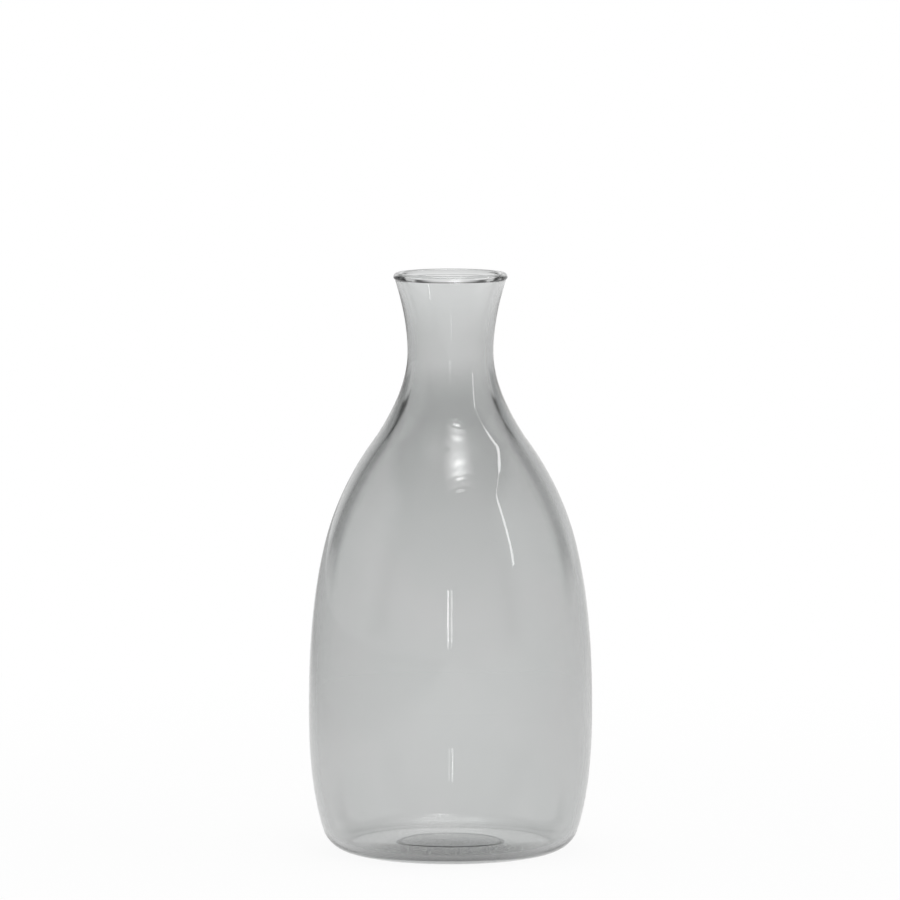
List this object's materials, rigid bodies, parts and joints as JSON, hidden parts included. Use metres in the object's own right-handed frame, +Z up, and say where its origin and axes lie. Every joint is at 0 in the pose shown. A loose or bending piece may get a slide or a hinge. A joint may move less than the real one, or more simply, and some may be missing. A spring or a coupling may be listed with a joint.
{
  "type": "bottle vase",
  "caption": "Free-standing bottle vase of clear smoke-grey blown glass, with a flared neck, a sloping shoulder and a tall belly, for holding cut stems in water.",
  "frame": {"origin": "middle of the flat ring on the underside, on the surface that the vase stands on", "axes": "+Z runs up the axis of the vase; X and Y are free, because the vase is round"},
  "size_m": [0.1, 0.1, 0.204],
  "materials": {
    "smoke_glass": "clear smoke-grey blown glass, fire-polished and glossy"
  },
  "bodies": {
    "root": {"base": "smoke_glass", "body": "smoke_glass", "shoulder": "smoke_glass", "neck": "smoke_glass", "rim": "smoke_glass"}
  },
  "joints": []
}
